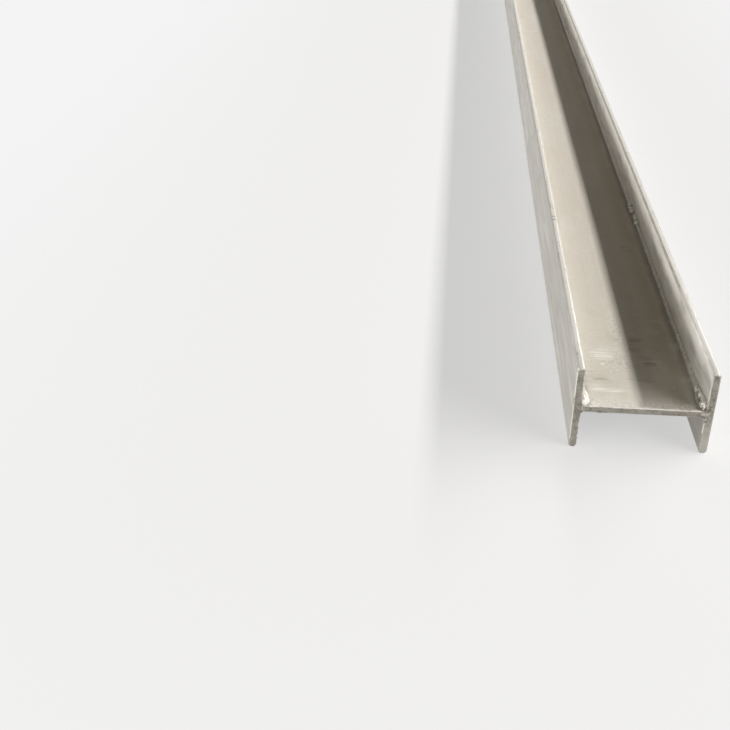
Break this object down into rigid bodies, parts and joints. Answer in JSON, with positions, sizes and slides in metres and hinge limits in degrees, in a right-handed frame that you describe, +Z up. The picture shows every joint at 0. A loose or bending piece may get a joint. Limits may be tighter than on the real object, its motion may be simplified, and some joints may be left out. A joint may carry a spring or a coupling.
{
  "type": "steel h-beam",
  "caption": "Welded steel H-beam: a web plate between flange plates, held by fillet welds, a straight length of structural stock.",
  "frame": {"origin": "on the floor under the middle of the beam, level with the lower edges of the flanges", "axes": "+Y along the beam, +Z up, square to the web, +X across the web towards the right flange"},
  "size_m": [0.15, 6, 0.1],
  "materials": {
    "plate_steel": "matt pickled plate, hazed and scuffed",
    "weld_metal": "pickled weld bead, rippled"
  },
  "bodies": {
    "root": {"web_plate": "plate_steel", "flange_plate_left": "plate_steel", "flange_plate_right": "plate_steel", "weld_upper_left": "weld_metal", "weld_upper_right": "weld_metal", "weld_lower_left": "weld_metal", "weld_lower_right": "weld_metal"}
  },
  "joints": []
}
